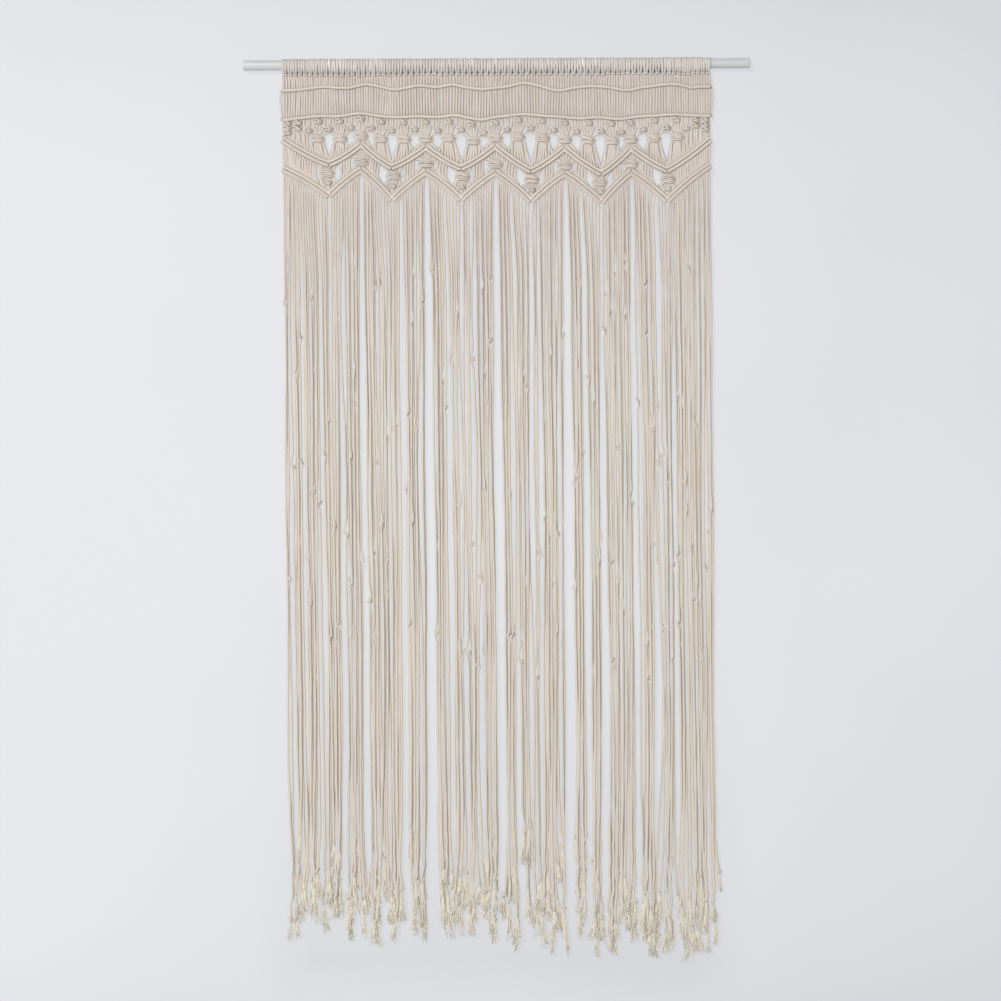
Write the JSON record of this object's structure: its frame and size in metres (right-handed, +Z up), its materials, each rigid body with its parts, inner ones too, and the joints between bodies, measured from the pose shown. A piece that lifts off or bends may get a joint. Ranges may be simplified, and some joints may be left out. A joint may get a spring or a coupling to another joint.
{
  "type": "string curtain with its rod",
  "caption": "Macrame string curtain: cords looped over a plain round rod, a knotted heading with zigzag bars, and long loose strings with frayed ends.",
  "frame": {"origin": "on the rod's axis, halfway along it", "axes": "+X along the rod to the viewer's right, +Z up, and the front of the curtain faces -Y"},
  "size_m": [1, 0.031, 1.7919],
  "materials": {
    "rod": "white paint, satin",
    "cotton": "twisted natural cotton cord, matt"
  },
  "bodies": {
    "root": {"rod": "rod", "header": "cotton", "fringe_1": "cotton", "fringe_2": "cotton", "fringe_3": "cotton", "fringe_4": "cotton", "fringe_5": "cotton", "fringe_6": "cotton"}
  },
  "joints": []
}
